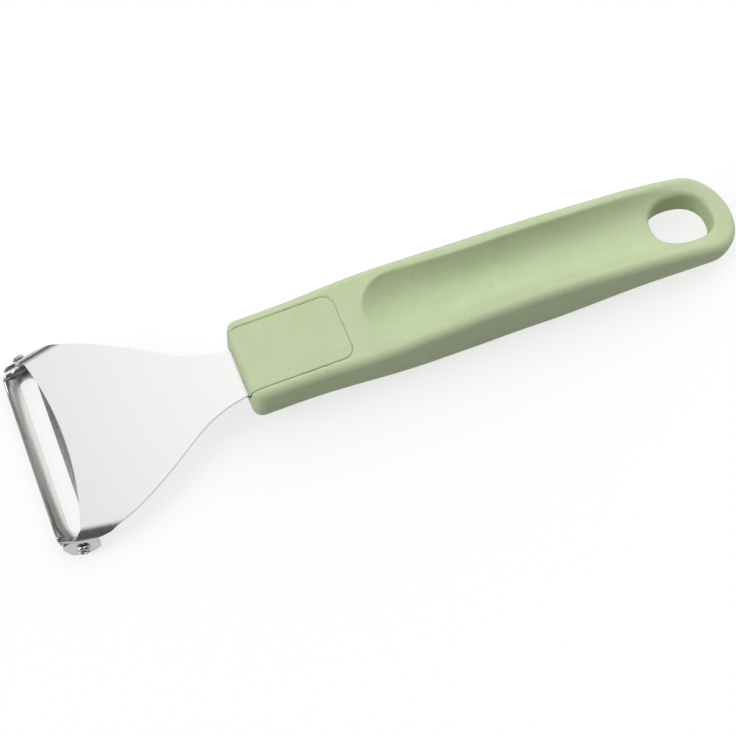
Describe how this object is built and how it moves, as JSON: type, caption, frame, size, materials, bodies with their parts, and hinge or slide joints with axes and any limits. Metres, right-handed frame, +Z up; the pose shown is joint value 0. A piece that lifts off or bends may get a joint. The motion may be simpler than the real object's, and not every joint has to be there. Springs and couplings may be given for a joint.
{
  "type": "vegetable peeler",
  "caption": "Horizontal vegetable peeler: moulded handle with a thumb scoop and hanging hole, a flared steel head and a slotted blade that swivels between its bent ears.",
  "frame": {"origin": "on the resting plane, under the middle of the overall length, on the peeler's plane of symmetry", "axes": "+X from the blade to the hanging hole, +Z up from the table, +Y across"},
  "size_m": [0.1811, 0.0516, 0.0189],
  "materials": {
    "handle_plastic": "matt sage green with sparse fine dark specks",
    "cover_plastic": "matt sage green with sparse fine dark specks",
    "head_steel": "polished stainless steel",
    "blade_steel": "stainless steel, lightly brushed"
  },
  "bodies": {
    "grip": {"handle": "handle_plastic", "tang_cover": "cover_plastic", "head_plate": "head_steel"},
    "blade": {"swivel_blade": "blade_steel"}
  },
  "joints": [
    {"name": "blade_swivel", "type": "hinge", "parent": "grip", "child": "blade", "pos_m": [-0.08527, 0, 0.00261], "axis": [0, 1, 0], "range_deg": [-20, 20]}
  ]
}
